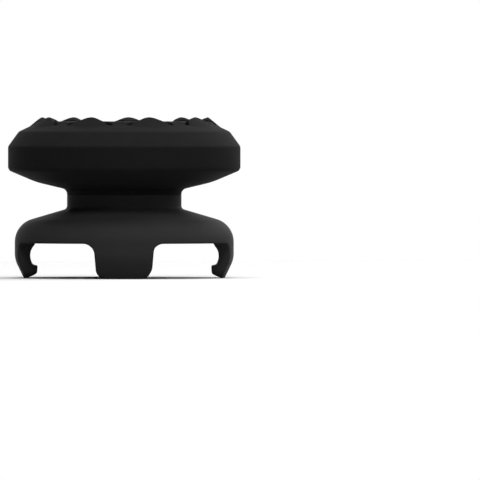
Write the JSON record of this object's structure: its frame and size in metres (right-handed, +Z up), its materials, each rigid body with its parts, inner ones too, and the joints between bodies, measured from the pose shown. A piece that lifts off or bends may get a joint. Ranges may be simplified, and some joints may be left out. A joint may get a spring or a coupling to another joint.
{
  "type": "controller thumb grip",
  "caption": "Tall thumbstick grip: a soft round cap with a diamond tread on a rigid domed base with clips that snap under the stick's head.",
  "frame": {"origin": "on the grip's axis, in the plane of the clip tips that it stands on", "axes": "+Z up along the axis from the clips to the tread, -Y towards the picture's viewer through the middle of one clip, +X to the viewer's right through another clip"},
  "size_m": [0.0234, 0.0234, 0.0161],
  "materials": {
    "cap_rubber": "fine matte moulded rubber",
    "clip_plastic": "satin moulded plastic"
  },
  "bodies": {
    "root": {"thumb_cap": "cap_rubber", "clip_base": "clip_plastic"}
  },
  "joints": []
}
